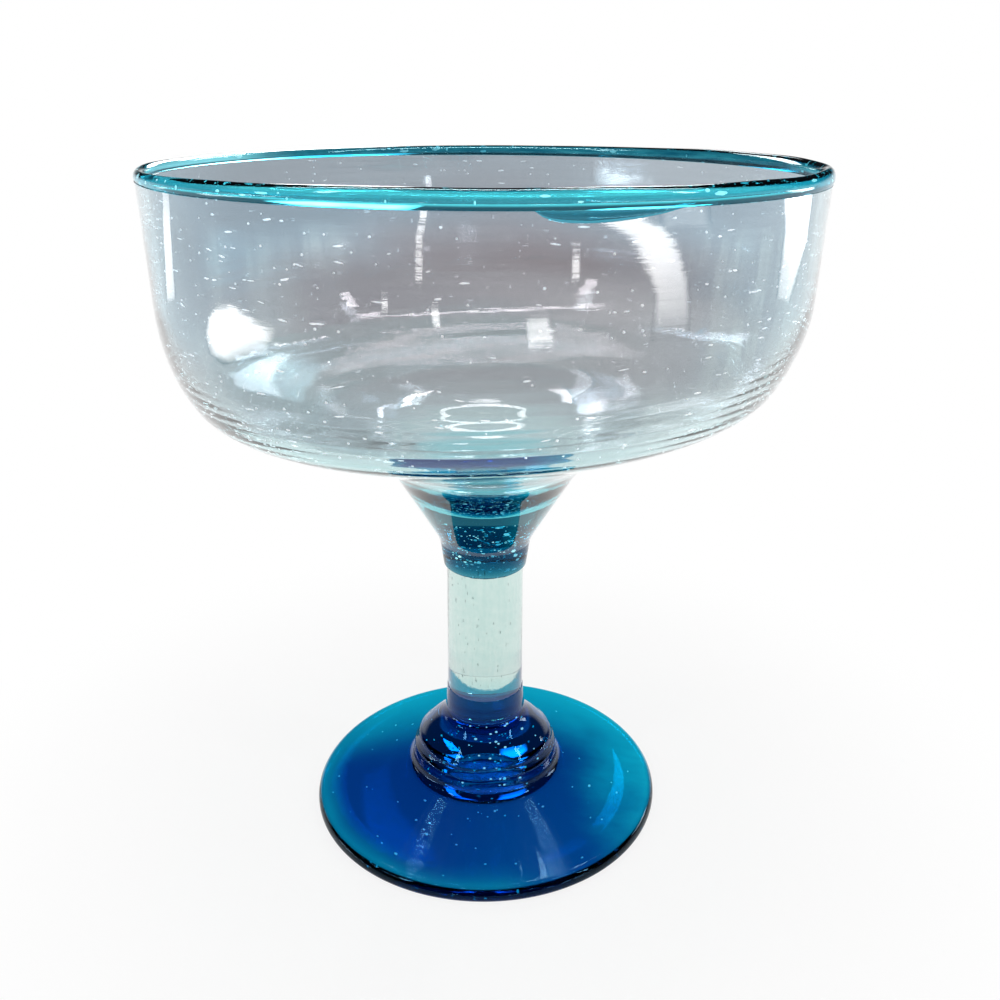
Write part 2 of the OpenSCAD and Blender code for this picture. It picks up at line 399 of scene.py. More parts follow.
def paintBowl(at, look):
    # grey in the wall, painted shade for the dim room seen through the clear glass; bluer and paler at the
    # sides, a painted reflection of windows; clearing towards the heel and the floor, partly the clear glass
    # and partly painted light
    place, x, y, z, r = at
    zone = bowlZones
    drawn = place.node("ShaderNodeCombineXYZ", sockets={0: x * 0.03, 1: y * 0.03, 2: (z - r * 0.8) * 0.9})
    drawn = drawn.cloud(1.0, 3.0, 0.55)
    clouds = place.cloud(0.035, 2.0, 0.5) - 0.5
    tool = drawn - 0.5
    # paler bluish streaks at both sides and further out on the left: painted reflection of the room's windows
    windowStreaks = place.stretch(0.16, 0.16, 0.02).cloud(1.0, 3.0, 0.6).ease(0.44, 0.60)
    left = (x * -1).ease(*zone["left"]) * 0.8
    side = left.blend(windowStreaks.blend(look["side"], look["pale"]), look["left"])
    wall = (x.size() - x * 0.08 + clouds * 26).ease(*zone["side"]).blend(look["smoke"], side)
    # a darker grey strip along the far left edge: painted shade
    wall = (x * -1).ease(*zone["edge"]).blend(wall, look["edge"])
    # the band under the lip: lighter on the near side and darker on the far side, and lighter at the right
    # front: painted reflection of the room on the near wall and painted shade on the far one
    front = y.ease(*zone["near"])
    lipLightAndShade = front.blend(look["lipBack"], look["lipFront"])
    right = x.ease(*zone["lipRight"]) * y.ease(*zone["lipRightNear"]).most(0.7) * 0.45
    lipLightAndShade = right.blend(lipLightAndShade, look["lipRight"])
    wall = (z - front * 11 + clouds * 12).ease(*zone["lip"]).blend(wall, lipLightAndShade)
    # the lower wall paler and darker to the left, and the heel paler and bluer: painted light and shade
    low = (x + clouds * 20).ease(*zone["lowLeft"]).blend(look["low"], look["lowLeft"])
    lower = (z + tool * 10 + x * 0.06).ease(*zone["low"]).blend(wall, low)
    lower = (z + tool * 8 + x.size() * 0.10).ease(*zone["heel"]).blend(lower, look["heel"])
    # clearing to white low on the right and in drawn streaks: partly the clear glass, partly a painted
    # highlight
    clear = (x.size() + x * 0.4 + clouds * 16).ease(*zone["clear"]) * z.ease(*zone["clearLow"])
    lower = clear.blend(lower, look["clear"])
    lower = (drawn.ease(0.50, 0.62) * z.ease(*zone["drawnLow"]) * 0.8).blend(lower, look["clear"])
    lower = (z.ease(*zone["flank"]) * r.over(neck["radius"] + 0.5)).blend(lower, look["flank"])
    # a grey ring on the floor: painted shade, like the grey in the wall
    middle = (r + tool * 5).ease(*zone["ring"]) * z.ease(*zone["ringHigh"])
    base = middle.blend(lower, look["ring"])
    # the outer side of the floor, by its height over the line that the floor's underside follows; its teal is
    # a painted reflection of the neck
    rise = tanD(bowl["underSlope"])
    over = z - r * rise - (flare[-1][1] - flare[-1][0] * rise)
    outer = over.ease(*zone["under"]) * z.under(zone["underLow"]) * r.over(zone["underOut"])
    base = outer.blend(base, look["under"])
    tinted = (drawn * 1.2 - 0.1).ease(0.2, 0.8).blend(look["faint"], look["clear"])
    colour = place.node("ShaderNodeMix", {"data_type": "RGBA", "blend_type": "MULTIPLY"},
                        {0: 1.0, 6: base, 7: tinted}, out=2)
    slope = (tenonSide[0] - tenonFoot[0]) / (tenonSide[1] - tenonFoot[1])
    socket = (r - (z - tenonFoot[1]) * slope).under(tenonFoot[0] + 0.4) * z.under(tenonTop + 0.3)
    joined = socket.most(z.over(lip["height"] - near))
    return colour, drawn + 0.35 * place.cloud(0.25, 2.0, 0.5), joined


clearGlass = glassFinish("clear seeded glass", bowlLook, paintBowl)
turnPiece("bowl_glass", bowlOutline, 288, clearGlass, "bowl")


# coloured thread on the lip

thread = {
    "height": 3.2, "width": 2.7, "lapArc": 19, "lapFrom": 276.5, "lapDrop": 1.8, "lapBulge": 0.5,
    "thinLeft": 0.34, "leftAt": 172, "thinBack": 0.20, "drop": 0.06, "points": 28,
}
cutAngle = math.acos(bowl["wall"] / thread["width"])
halfHigh = thread["height"] / (1 + math.sin(cutAngle))
threadCentre = (lip["radius"] - bowl["wall"] / 2, lip["height"] + halfHigh * math.sin(cutAngle))


def threadOutline(angle):
    # an oval bead, fuller in front and thin where it was drawn out on the left and behind,
    # with a lens where its end was laid over its start
    thin = (thread["thinLeft"] * max(0, math.cos(angle - math.radians(thread["leftAt"]))) ** 1.5
            + thread["thinBack"] * max(0, math.sin(angle)) ** 2)
    size = 0.965 + 0.035 * sway(angle, 0, 2.2, 2.4) - 0.45 * thin
    halfWide = max(thread["width"] / 2 * size, bowl["wall"] / 2 + 0.03)
    tall = halfHigh * (0.93 + 0.07 * sway(angle, 0, 6.7, 3.2) - thin)
    middle = (threadCentre[0], lip["height"] + tall * math.sin(cutAngle))
    bead = []
    for i in range(thread["points"] + 1):
        a = -cutAngle + (math.pi + 2 * cutAngle) * i / thread["points"]
        bead.append((middle[0] + halfWide * math.cos(a), middle[1] + tall * math.sin(a)))
    share = ((math.degrees(angle) - thread["lapFrom"]) / thread["lapArc"]) % (360 / thread["lapArc"])
    drop = thread["drop"]
    if 0 < share < 1:
        drop += thread["lapDrop"] * max(math.sin(math.pi * share ** 0.62), 0) ** 0.7
    bulge = thread["lapBulge"] * min(drop / thread["lapDrop"], 1)
    low = lip["height"] - drop
    wall = lip["radius"]
    lap = [(wall - 0.15, low), (wall + bulge * 0.45, low + 0.04 * drop),
           (wall + bulge * 0.9, low + 0.3 * drop), (wall + bulge, low + 0.65 * drop)]
    inside = [(wall - bowl["wall"] + 0.08, lip["height"] - 0.16), (wall - 0.3, lip["height"] - 0.17)]
    return inside + lap + bead


threadLook = {
    **gloss, "coat": 0.0, "tint": (0.5, 0.9, 1), "loss": (0.42, 0.085, 0.050),
    "relief": 0.15, "reliefHeight": 0.05, "pale": (0.30, 0.95, 1), "deep": (0.02, 0.30, 0.42),
    "back": (0.01, 0.11, 0.17), "clear": (0.75, 0.93, 0.97),
}
threadZones = {
    "middle": 148.3, "edge": (0.5, 1.3), "lap": (146.9, 146.3), "back": (-14, 30), "left": (46, 60),
}


def paintThread(at, look):
    # bright in its middle and deeper along both edges, a painted highlight and painted shade where the bead
    # refracts the room; dark behind, painted shade on its far side; washed out at the left
    place, x, y, z, r = at
    zone = threadZones
    drawn = place.stretch(0.12, 0.12, 1.2).cloud(1.0, 3.0, 0.6)
    clouds = place.cloud(0.03, 2.0, 0.5) - 0.5
    edge = (z - zone["middle"]).size().ease(*zone["edge"])
    lap = z.ease(*zone["lap"])
    deep = (edge * 0.8 + lap * 0.8 + (drawn - 0.5) * 0.9).most(0).least(1)
    front = deep.blend(look["pale"], look["deep"])
    # darker on the far side: painted shade
    back = (y + x * 0.25 + clouds * 30).ease(*zone["back"]) * (0.55 + drawn * 0.7)
    colour = back.least(1).blend(front, look["back"])
    washed = (clouds * 14 - x).ease(*zone["left"])
    joined = z.under(lip["height"] - near) * r.under(lip["radius"] - 0.02)
    return washed.blend(colour, look["clear"]), drawn, joined


turquoiseGlass = glassFinish("turquoise lip glass", threadLook, paintThread)
turnPiece("rim_glass", threadOutline, 360, turquoiseGlass, "rim_thread")


# neck with its tenon in the bowl's base; the rod and the collar stand under it

rod = {"top": 8.8, "foot": 9.0, "low": 29.5}
collar = {"top": 9.1, "foot": 9.4, "low": 24.5}


def neckOutline(angle):
    side = arc((neckFoot[0] - neck["round"], neck["foot"]), 0, neck["slope"], neck["round"], 8)
    ragged = 0.16 * sway(angle, 0, 1.7, 5.0)
    base = neck["foot"] - fused
    low = [(0, base)] + fine([(0.01, base), (side[0][0], base + ragged)])[1:]
    seat = (tenonFoot[0] + fused, skirtEdge[1] + fused)
    ledge = [(skirtEdge[0] - 0.01, seat[1]), seat]
    core = fine([seat, (tenonSide[0] + fused, tenonSide[1] + fused)])[1:]
    top = [(r * (1 + fused / tenonSide[0]), z + fused) for r, z in fine(tenonCap)[::-1]]
    shaped = [(r + 0.05 * sway(angle, z, 4.0, 2.5, 0.3) * easeStep(0, 4, r), z)
              for r, z in fine(side + throatLow[1:-1])]
    return low + shaped + ledge + core + top[1:-1] + [(0, tenonTop + fused)]


neckLook = {
    **gloss, "coat": 0.0, "tint": (0.12, 0.3, 0.4), "loss": (0.38, 0.125, 0.088),
    "relief": 0.2, "reliefHeight": 0.06, "pale": (0.7, 1, 1), "deep": (0.10, 0.32, 0.44),
    "green": (0.55, 0.95, 0.85), "low": (0.06, 0.22, 0.32),
}


def paintNeck(at, look):
    # deep and pale clouds, greener on the left and darkest at its foot, painted shade that hides the light
    # let in through the rod
    place, x, y, z, r = at
    clouds = place.stretch(1, 1, 0.6).cloud(0.22, 4.0, 0.6)
    streak = place.stretch(0.9, 0.9, 0.12).cloud(0.8, 2.0, 0.5)
    colour = (clouds * 0.7 + streak * 0.3).ease(0.36, 0.62).blend(look["pale"], look["deep"])
    colour = ((clouds - 0.5) * 8 - x).ease(0, 6).blend(colour, look["green"])
    # darker towards its foot: painted shade
    colour = (z + (clouds - 0.5) * 3 - neck["foot"]).ease(4.9, 2.9).blend(colour, look["low"])
    joined = z.over(skirtEdge[1] + near).most(z.under(neck["foot"] + 0.3) * r.under(rod["top"] - 0.2))
    return colour, clouds + 0.5 * streak, joined


tealGlass = glassFinish("teal neck glass", neckLook, paintNeck)
turnPiece("neck_glass", neckOutline, 144, tealGlass, "stem_neck")


# rod and collar

def rodOutline(angle):
    # drawn out by hand, so not quite straight
    made = [(0, rod["low"])] + fine([(0.01, rod["low"]), (rod["foot"] - 0.25, rod["low"])])[1:]
    side = fine([(rod["foot"], rod["low"] + 0.05), (rod["top"], neck["foot"] - 0.05)], 0.8)
    shaped = [(r - 0.05 + 0.05 * sway(angle, z, 8.0, 2.2, 0.06), z) for r, z in side]
    return made + shaped + [(rod["top"] - 0.3, neck["foot"]), (0, neck["foot"])]


def collarOutline(angle):
    made = [(0, collar["low"] - fused), (collar["foot"] - 0.35, collar["low"] - fused)]
    side = fine([(collar["foot"], collar["low"] - 0.02), (collar["top"] - 0.05, rod["low"])], 0.6)
    top = [(collar["top"] - 0.15, rod["low"] + 0.02), (0, rod["low"] + 0.02)]
    return made + side + top


rodLook = {
    **gloss, "loss": (0.026, 0.013, 0.016), "relief": 0.25, "reliefHeight": 0.06,
    "pale": (1, 1, 1), "deep": (0.88, 0.94, 0.94),
}


def paintRod(at, look):
    # faint streaks along it
    place, x, y, z, r = at
    streak = place.stretch(1.1, 1.1, 0.07).cloud(0.8, 3.0, 0.55)
    fuzz = place.stretch(1.2, 1.2, 0.5).cloud(1.1, 4.0, 0.6)
    joined = z.under(rod["low"] + 0.04).most(z.over(neck["foot"] - 0.1)) * r.under(8.9)
    return (streak + fuzz - 0.5).ease(0.35, 0.7).blend(look["pale"], look["deep"]), streak + fuzz, joined


paleGlass = glassFinish("pale rod glass", rodLook, paintRod)
turnPiece("rod_glass", rodOutline, 144, paleGlass, "stem_rod")


# foot

foot = {
    "radius": 41.7, "height": 24.5, "edge": 3.3, "lowRound": 1.1, "slope": 13.5, "boss": 17.3,
    "bossSide": 0.2, "fillet": 3.6, "ring": 35, "hollowRise": 2.4, "scar": 6.5, "scarThick": 1.2,
    "scarDish": 0.5, "bead": 0.42, "beadHeight": 0.42, "beads": (16, 13.6), "waves": 0.06,
    "wide": 0.9, "wideAt": 50, "short": 0.5, "shortAt": 155, "spread": (20, 38),
    "beadOut": (17.7, 19.5), "beadIn": (9.5, 12), "wavesFrom": (19, 24), "wavesTo": (36, 40),
}
edgeRound = foot["edge"] - foot["lowRound"]
edgeTop = (foot["radius"] - edgeRound, foot["edge"])
filletReach = foot["fillet"] * tanD((90 - foot["slope"]) / 2)
bossFoot = foot["edge"] + (edgeTop[0] - foot["boss"]) * tanD(foot["slope"]) + filletReach
bossSide = (foot["boss"], bossFoot + foot["bossSide"])
bossFlank = smoothCurve((collar["foot"], foot["height"]), (collar["foot"], foot["height"] - 4),
                        (foot["boss"], bossSide[1] + 6), bossSide, 40)
hollowRadius = capRadius(foot["ring"], foot["hollowRise"])
footTop = ([(0, foot["height"]), (collar["foot"] - 0.4, foot["height"])] + bossFlank
           + arc((foot["boss"], bossFoot), -90, -foot["slope"], foot["fillet"]))
footEdge = (arc(edgeTop, 0, -90, edgeRound)
            + arc((foot["radius"], foot["lowRound"]), -90, -180, foot["lowRound"]))
footHollow = roundCap(foot["hollowRise"], hollowRadius, foot["ring"])[::-1]
footLoop = fine(footTop, 1.0) + fine(footEdge, 1.0) + fine(footHollow, 1.6)


def footOutline(angle):
    # a little out of round: it spread to the right behind, and less at the left
    spread = (foot["wide"] * max(0, math.cos(angle - math.radians(foot["wideAt"]))) ** 2
              - foot["short"] * max(0, math.cos(angle - math.radians(foot["shortAt"]))) ** 2)
    shaped = []
    for r, z in footLoop:
        r = r + spread * easeStep(*foot["spread"], r)
        if r > 6 and z > foot["hollowRise"] + 0.2:
            swell = 0
            for level in foot["beads"]:
                away = z - level - 0.35 * sway(angle, 0, level, 1.5)
                swell += foot["bead"] * math.exp(-(away / foot["beadHeight"]) ** 2)
            swell = swell * (1 - easeStep(*foot["beadOut"], r)) * easeStep(*foot["beadIn"], r)
            waves = foot["waves"] * easeStep(*foot["wavesFrom"], r) * (1 - easeStep(*foot["wavesTo"], r))
            z = z + waves * math.sin(1.3 * r + 3 * sway(angle, r, 7.0, 1.4))
            r = r + swell * (0.7 + 0.3 * sway(angle, z, 11.0, 2.0))
        shaped.append((r, z))
    return shaped


def scarOutline(angle):
    # it hangs in the hollow under the foot
    roof = roundCap(foot["hollowRise"] + fused, hollowRadius, foot["scar"])
    low = roof[-1][1] - foot["scarThick"]
    rim = arc((foot["scar"], low + foot["scarDish"]), -90, -180, foot["scarDish"], 8)
    broken = [(r, low + foot["scarDish"] * (0.8 + 0.25 * sway(angle, r * 9, 3.0, 4.0)))
              for r in (5, 4, 3, 2, 1)]
    return fine(roof) + rim + broken + [(0, low + foot["scarDish"])]


footLook = {
    **gloss, "coat": 0.0, "tint": (0.10, 0.3, 0.5), "loss": (0.45, 0.066, 0.030),
    "relief": 0.2, "reliefHeight": 0.06, "deep": (0.004, 0.060, 0.30), "blue": (0.004, 0.085, 0.33),
    "turquoise": (0.03, 0.66, 0.80), "boss": (0.08, 0.36, 0.56), "edge": (0.008, 0.10, 0.24),
    "teal": (0.01, 0.34, 0.50),
}
footZones = {
    "blue": (-14, 20), "right": (16, 48), "behind": (0, 30), "left": (34, 41), "leftSide": (4, 26),
    "rim": (40.2, 41.4), "rimNear": (-6, 16), "boss": (8.4, 12.5),
}


def paintFoot(at, look):
    # deep blue on the left, royal blue in front, turquoise to the right and the back, painted light where the
    # foot looks lit; darker at the near rim, painted shade
    place, x, y, z, r = at
    zone = footZones
    clouds = place.cloud(0.05, 3.0, 0.5)
    drift = clouds - 0.5
    smear = place.stretch(0.06, 0.16, 0.2).cloud(1.0, 3.0, 0.6)
    disc = (x - y * 0.25 + drift * 26).ease(*zone["blue"]).blend(look["deep"], look["blue"])
    # lighter turquoise to the right and behind: painted light
    right = (x * 0.92 + y * 0.15 + drift * 22 + (smear - 0.5) * 12).ease(*zone["right"])
    disc = right.blend(disc, look["turquoise"])
    behind = (y + drift * 14).ease(*zone["behind"]) * 0.85
    disc = behind.blend(disc, look["turquoise"])
    left = (r + drift * 5).ease(*zone["left"]) * (-1 * x - y * 0.6).ease(*zone["leftSide"])
    disc = (left * 0.9).blend(disc, look["teal"])
    # the near rim darker: painted shade
    rim = r.ease(*zone["rim"]) * (x * 0.2 - y).ease(*zone["rimNear"])
    disc = rim.blend(disc, look["edge"])
    colour = (z + (smear - 0.5) * 2).ease(*zone["boss"]).blend(disc, look["boss"])
    bossJoint = z.over(foot["height"] - near) * r.under(collar["foot"] - 0.4)
    joined = bossJoint.most(r.under(foot["scar"] - 0.1) * z.under(foot["hollowRise"] + 0.2))
    return colour, smear + clouds, joined


blueGlass = glassFinish("blue foot glass", footLook, paintFoot)
collarLook = {**footLook, "loss": (0.045, 0.018, 0.018), "shade": (0.02, 0.36, 0.38), "pale": (0.97, 1, 1)}


def paintCollar(at, look):
    place, x, y, z, r = at
    clouds = place.stretch(1, 1, 2.0).cloud(0.25, 3.0, 0.55)
    joined = z.under(collar["low"] + 0.02).most(z.over(rod["low"] + 0.01)) * r.under(9.2)
    # clear like the rod behind, with the foot's blue drawn up into its front
    front = (y + (clouds - 0.5) * 5).ease(1, -4)
    return front.blend(look["pale"], look["shade"]), clouds, joined


collarGlass = glassFinish("collar glass", collarLook, paintCollar)
scarLook = {**footLook, "relief": 0.9, "reliefHeight": 0.25, "rough": 0.3, "coat": 0.2}


def paintScar(at, look):
    # rough glass where the working rod was broken off
    place, x, y, z, r = at
    chips = place.cloud(0.9, 5.0, 0.65)
    return chips.ease(0.3, 0.7).blend(look["blue"], look["turquoise"]), chips, z.over(2.2)


scarGlass = glassFinish("broken scar glass", scarLook, paintScar)
turnPiece("collar_glass", collarOutline, 144, collarGlass, "foot_collar")
turnPiece("foot_glass", footOutline, 240, blueGlass, "foot")
turnPiece("scar_glass", scarOutline, 96, scarGlass, "pontil_scar")


# seeds: small bubbles drawn out in the glass; they glow, painted glints that keep them bright however they
# are lit, and the rod's specks glow faintly

def seedFinish(name, look):
    made = bpy.data.materials.new(name)
    made.use_nodes = True
    made.node_tree.nodes.clear()
    start = Wire(made.node_tree)
    place, x, y, z, r = where(made.node_tree)
    glint = place.cloud(1.3, 1.0, 0.5).ease(0.3, 0.7)
    colour = glint.blend(look["dull"], look["bright"])
    # the emission is painted light: the seeds glow like glints of light, though they are no lamps
    surface = start.node("ShaderNodeBsdfPrincipled", sockets={
        "Base Color": colour, "Roughness": 0.25 + 0.2 * glint, "Emission Color": colour,
        "Emission Strength": look["glow"]})
    start.node("ShaderNodeOutputMaterial", sockets={"Surface": surface})
    return made


ball = bmesh.new()
bmesh.ops.create_icosphere(ball, subdivisions=1, radius=1)
ballPoints = [v.co.copy() for v in ball.verts]
ballFaces = [[v.index for v in f.verts] for f in ball.faces]
ball.free()


def seedPiece(name, spots, material):
    # every spot is a centre in mm, three half sizes in mm and the two directions they lie along
    points, faces = [], []
    for centre, sizes, first, second in spots:
        third = first.cross(second)
        begin = len(points)
        dent = dice.uniform(0, 6)
        for co in ballPoints:
            wobble = 1 + 0.15 * math.sin(5 * co.x + 3 * co.y + dent)
            at = Vector(centre) + wobble * (sizes[0] * co.x * first + sizes[1] * co.y * second
                                            + sizes[2] * co.z * third)
            points.append(at * mm)
        faces += [[begin + i for i in face] for face in ballFaces]
    mesh = bpy.data.meshes.new(name)
    mesh.from_pydata(points, [], faces)
    shownPiece(name, mesh, material)


def turned(angle):
    # the directions away from the axis and round it
    return Vector((math.cos(angle), math.sin(angle), 0)), Vector((-math.sin(angle), math.cos(angle), 0))


upwards = Vector((0, 0, 1))
# how many, and the least and the most of each size, in mm; right and left: about which angle, how spread
bowlSeeds = {
    "dashes": 600, "dots": 900, "above": 95, "long": (0.3, 1.1), "deep": (0.08, 0.19),
    "tall": (0.09, 0.21), "dot": (0.10, 0.24), "under": (0.7, 1.3), "steep": (104, 122),
    "right": (-28, 14), "left": (215, 22),
}
lipSeeds = {"count": 46, "long": (0.4, 1.5), "short": (0.15, 0.3), "deep": (0.12, 0.28), "tall": (0.12, 0.25)}
neckSeeds = {"count": 300, "size": (0.07, 0.2), "high": 76.5, "reach": 9.2, "narrows": 68}
footSeeds = {
    "deep": 120, "discReach": (19, 39), "bossReach": (4, 16), "size": (0.08, 0.24),
    "near": 46, "nearReach": (20, 38), "nearSize": (0.16, 0.34), "under": (0.35, 0.7),
}
rodSeeds = {"count": 60, "reach": (3, 8.2), "high": (30.5, 60), "long": (0.2, 0.7), "wide": 0.05}


def bowlSpots():
    spots = []
    path = [p for p in fine(bowlOutside, 0.8) if p[1] > bowlSeeds["above"]]
    for n in range(bowlSeeds["dashes"] + bowlSeeds["dots"]):
        dash = n < bowlSeeds["dashes"]
        # two of five are gathered at the right front and the left front
        if n % 5 < 2:
            angle = math.radians(dice.gauss(*bowlSeeds["left" if n % 5 else "right"]))
        else:
            angle = dice.uniform(0, 2 * math.pi)
        r, z = path[int(len(path) * dice.random() ** 0.8)]
        out, along = turned(angle)
        r, z = bowlShape(r, z, angle, False)
        depth = dice.uniform(*bowlSeeds["under"])
        steep = easeStep(*bowlSeeds["steep"], z)
        centre = out * (r - depth * (0.4 + 0.6 * steep))
        centre.z = z + depth * (1 - steep)
        along = (along + Vector((0, 0, dice.gauss(0, 0.12)))).normalized()
        if dash:
            sizes = tuple(dice.uniform(*bowlSeeds[side]) for side in ("long", "deep", "tall"))
        else:
            size = dice.uniform(*bowlSeeds["dot"])
            sizes = (size * 1.2, size, size)
        spots.append((centre, sizes, along, out.cross(along).normalized()))
    return spots


def threadSpots():
    spots = []
    for n in range(lipSeeds["count"]):
        angle = dice.uniform(0, 2 * math.pi)
        out, along = turned(angle)
        centre = out * (threadCentre[0] + dice.uniform(-0.2, 0.7))
        centre.z = threadCentre[1] + dice.uniform(-0.5, 0.7)
        sides = ("long" if n % 3 else "short", "deep", "tall")
        sizes = tuple(dice.uniform(*lipSeeds[side]) for side in sides)
        spots.append((centre, sizes, along, upwards))
    return spots


def neckSpots():
    spots = []
    for n in range(neckSeeds["count"]):
        z = dice.uniform(neck["foot"], neckSeeds["high"])
        reach = neckSeeds["reach"]
        if z >= neckSeeds["narrows"]:
            reach = reach - 0.2 - (z - neckSeeds["narrows"]) * 0.36
        r = reach * dice.random() ** 0.4
        angle = dice.uniform(0, 2 * math.pi)
        out, along = turned(angle)
        size = dice.uniform(*neckSeeds["size"]) * (2.0 if n % 6 == 0 else 1)
        centre = out * r
        centre.z = z
        spots.append((centre, (size * dice.uniform(1, 2), size, size), along, out.cross(along)))
    return spots


def footSpots():
    spots = []
    for n in range(footSeeds["deep"]):
        angle = dice.uniform(0, 2 * math.pi)
        out, along = turned(angle)
        if n % 3 == 0:
            r = dice.uniform(*footSeeds["discReach"])
            z = 1.6 + (40 - r) * 0.22 * dice.uniform(0.5, 1) + 1
        else:
            r = dice.uniform(*footSeeds["bossReach"])
            z = dice.uniform(4, 21 - 0.5 * r)
        size = dice.uniform(*footSeeds["size"])
        centre = out * r
        centre.z = z
        spots.append((centre, (size * dice.uniform(1, 2), size, size), along, out.cross(along)))
    for n in range(footSeeds["near"]):
        # larger ones just under the surface, most of them on the right of the boss; glowing, they stand in
        # for glints of light (painted highlights)
        angle = math.radians(dice.gauss(-72, 26)) if n % 3 else math.radians(dice.uniform(-165, -15))
        out, along = turned(angle)
        if n % 3:
            r, z = bossFlank[int(len(bossFlank) * dice.uniform(0.12, 1))]
            centre = out * (r - dice.uniform(*footSeeds["under"]))
            centre.z = z
        else:
            r = dice.uniform(*footSeeds["nearReach"])
            centre = out * r
            top = foot["edge"] + (edgeTop[0] - r) * tanD(foot["slope"])
            centre.z = top - dice.uniform(*footSeeds["under"])
        size = dice.uniform(*footSeeds["nearSize"])
        spots.append((centre, (size * dice.uniform(1, 1.7), size * 0.8, size), along, out.cross(along)))
    return spots


def rodSpots():
    spots = []
    for n in range(rodSeeds["count"]):
        angle = dice.uniform(0, 2 * math.pi)
        out, along = turned(angle)
        centre = out * dice.uniform(*rodSeeds["reach"])
        centre.z = dice.uniform(*rodSeeds["high"])
        sizes = (dice.uniform(*rodSeeds["long"]), rodSeeds["wide"], rodSeeds["wide"])
        spots.append((centre, sizes, upwards, along))
    return spots


brightSeeds = seedFinish("glowing bubbles in clear glass", {
    "dull": (0.85, 0.92, 0.96), "bright": (1.0, 1.0, 1.0), "glow": 0.95})
blueSeeds = seedFinish("glowing bubbles in coloured glass", {
    "dull": (0.55, 0.85, 0.95), "bright": (1.0, 1.0, 1.0), "glow": 1.0})
greySeeds = seedFinish("faintly glowing specks in the rod", {
    "dull": (0.35, 0.42, 0.42), "bright": (0.6, 0.68, 0.68), "glow": 0.1})
seedPiece("bowl_seeds", bowlSpots(), brightSeeds)
seedPiece("rim_seeds", threadSpots(), brightSeeds)
seedPiece("neck_seeds", neckSpots(), blueSeeds)
seedPiece("foot_seeds", footSpots(), blueSeeds)
seedPiece("rod_specks", rodSpots(), greySeeds)


# camera

view = {"place": (0.0003, -0.2117, 0.1624), "down": 22.0, "right": 0.82, "roll": 0.37, "lens": 36.58}
cameraData = bpy.data.cameras.new("camera")
cameraData.lens = view["lens"]
cameraData.sensor_width = 36
cameraData.clip_start = 0.01
picture = 1000
camera = bpy.data.objects.new("camera", cameraData)
bpy.context.collection.objects.link(camera)
camera.matrix_world = (Matrix.Translation(view["place"])
                       @ Matrix.Rotation(math.radians(-view["right"]), 4, "Z")
                       @ Matrix.Rotation(math.radians(90 - view["down"]), 4, "X")
                       @ Matrix.Rotation(math.radians(view["roll"]), 4, "Z"))
bpy.context.scene.camera = camera


# studio: backdrop, table, soft boxes, and the windows and lamps of the room

studio = {
    "fill": 0.55, "shadow": 0.16, "ceiling": (0.14, 0.18, 0.21), "dark": (0.012, 0.016, 0.022),
    "horizon": (0.05, 0.20), "mirroredLift": 0.08, "table": (0.9, 0.9, 0.9, 1), "tableHalf": 6,
    "tableTop": -0.0001, "shadowReach": (150, 45), "aim": (0, 0, 0.07),
}


def seenRays(start):
    # rays straight from the camera, those seen or mirrored or let through, and those only mirrored
    path = start.node("ShaderNodeLightPath").socket.node
    straight, mirror, clear = [Wire(start.tree, path.outputs[n])
                               for n in ("Is Camera Ray", "Is Glossy Ray", "Is Transmission Ray")]
    return straight, (straight + mirror + clear).least(1), mirror * (1 - clear)


world = bpy.data.worlds.new("studio")
bpy.context.scene.world = world
world.use_nodes = True
world.node_tree.nodes.clear()
sky = Wire(world.node_tree)
direct, seen, mirroredRay = seenRays(sky)
height = sky.node("ShaderNodeTexCoord", out="Generated").split()[2]
white = direct.most(1 - (height + mirroredRay * studio["mirroredLift"]).ease(*studio["horizon"]))
roomAbove = mirroredRay.blend(studio["ceiling"], studio["dark"])
backdrop = white.blend(roomAbove, (1, 1, 1))
shown = seen.blend((studio["fill"],) * 3, backdrop)
sky.node("ShaderNodeOutputWorld", sockets={
    "Surface": sky.node("ShaderNodeBackground", sockets={"Color": shown, "Strength": 1.0})})

floorMesh = bpy.data.meshes.new("floor")
floorCorners = [(x * studio["tableHalf"], y * studio["tableHalf"], studio["tableTop"])
                for x, y in ((-1, -1), (1, -1), (1, 1), (-1, 1))]
floorMesh.from_pydata(floorCorners, [], [(0, 1, 2, 3)])
floor = bpy.data.objects.new("floor", floorMesh)
bpy.context.collection.objects.link(floor)
floorPaint = bpy.data.materials.new("white table")
floorPaint.use_nodes = True
floorPaint.node_tree.nodes.clear()
table = Wire(floorPaint.node_tree)
away = where(floorPaint.node_tree)[4]
glow = table.node("ShaderNodeEmission", sockets={"Color": (1, 1, 1, 1), "Strength": 1.0})
matt = table.node("ShaderNodeBsdfDiffuse", sockets={"Color": studio["table"]})
shade = seenRays(table)[1] * (1 - studio["shadow"] * away.ease(*studio["shadowReach"]))
table.node("ShaderNodeOutputMaterial", sockets={
    "Surface": table.node("ShaderNodeMixShader", sockets={0: shade, 1: matt, 2: glow})})
floorMesh.materials.append(floorPaint)


def softBox(name, place, size, power):
    data = bpy.data.lights.new(name, "AREA")
    data.shape = "RECTANGLE"
    data.size, data.size_y = size
    data.energy = power
    lamp = bpy.data.objects.new(name, data)
    lamp.location = place
    lamp.rotation_euler = (Vector(studio["aim"]) - Vector(place)).to_track_quat("-Z", "Y").to_euler()
    lamp.visible_camera = False
    bpy.context.collection.objects.link(lamp)


softBox("key box", (-0.75, -0.55, 0.80), (0.10, 0.26), 1.6)
softBox("fill box", (0.85, -0.35, 0.70), (0.08, 0.24), 1.2)
softBox("back box", (0.30, 0.95, 0.75), (0.10, 0.30), 1.4)


